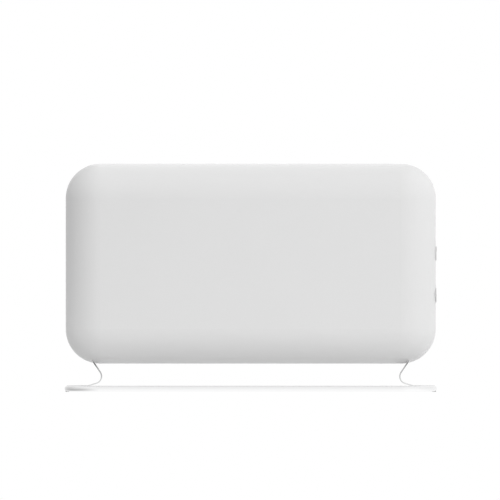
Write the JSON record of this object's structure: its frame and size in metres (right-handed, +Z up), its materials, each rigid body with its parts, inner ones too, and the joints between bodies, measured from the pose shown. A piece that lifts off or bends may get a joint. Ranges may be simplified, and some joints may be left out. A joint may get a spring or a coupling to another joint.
{
  "type": "convector heater",
  "caption": "Pill-shaped free-standing convector heater with rear louvred grilles, side control knobs, bent strip legs and a rectangular wire base ring.",
  "frame": {"origin": "on the floor under the middle of the body and of the base ring", "axes": "+Z up, front face towards -Y, controls at the +X end"},
  "size_m": [0.6036, 0.2, 0.3696],
  "materials": {
    "housing_white": "satin moulded plastic",
    "knob_grey": "light grey moulded plastic",
    "chrome": "polished chrome plating",
    "zinc_steel": "zinc-plated steel",
    "aluminium": "bare aluminium",
    "steel_rod": "sheathed steel rod",
    "ceramic": "unglazed technical ceramic",
    "dark_plastic": "dark heat-resistant plastic",
    "brown_lead": "brown lead insulation",
    "black_lead": "black lead insulation",
    "blue_lead": "blue lead insulation",
    "rubber": "soft pale grey silicone rubber"
  },
  "bodies": {
    "heater": {"front_shell": "housing_white", "rear_shell": "housing_white", "outlet_grille": "housing_white", "intake_grille": "housing_white", "control_panel": "housing_white", "left_leg": "chrome", "right_leg": "chrome", "base_ring": "chrome", "control_bracket": "zinc_steel", "left_side_plate": "zinc_steel", "right_side_plate": "zinc_steel", "bottom_rail": "zinc_steel", "case_screws": "zinc_steel", "chassis_screws": "zinc_steel", "rail_screws": "zinc_steel", "leg_screws": "zinc_steel", "leg_nuts": "zinc_steel", "control_screws": "zinc_steel", "panel_screws": "zinc_steel", "bracket_screws": "zinc_steel", "cutout_screws": "zinc_steel", "front_heat_shield": "aluminium", "rear_heat_shield": "aluminium", "finned_element": "aluminium", "heating_rod": "steel_rod", "rod_insulators": "ceramic", "terminal_block": "ceramic", "thermostat_body": "ceramic", "selector_switch": "dark_plastic", "thermal_cutout": "dark_plastic", "tilt_switch_housing": "dark_plastic", "tilt_switch_cover": "dark_plastic", "cable_gland": "dark_plastic", "live_lead": "brown_lead", "switched_lead": "black_lead", "cutout_lead": "black_lead", "element_lead": "black_lead", "neutral_lead": "blue_lead", "foot_pads": "rubber"},
    "selector": {"selector_knob": "knob_grey", "selector_shaft": "zinc_steel"},
    "thermostat": {"thermostat_knob": "knob_grey", "thermostat_shaft": "zinc_steel"},
    "tilt": {"tilt_pendulum": "zinc_steel"}
  },
  "joints": [
    {"name": "selector_turn", "type": "hinge", "parent": "heater", "child": "selector", "pos_m": [0.2968, 0, 0.2243], "axis": [-1, 0, 0], "range_deg": [0, 135]},
    {"name": "thermostat_turn", "type": "hinge", "parent": "heater", "child": "thermostat", "pos_m": [0.2968, 0, 0.1565], "axis": [-1, 0, 0], "range_deg": [-45, 225]},
    {"name": "tilt_swing", "type": "hinge", "parent": "heater", "child": "tilt", "pos_m": [0.2316, 0, 0.2943], "axis": [1, 0, 0], "range_deg": [-30, 30]}
  ]
}
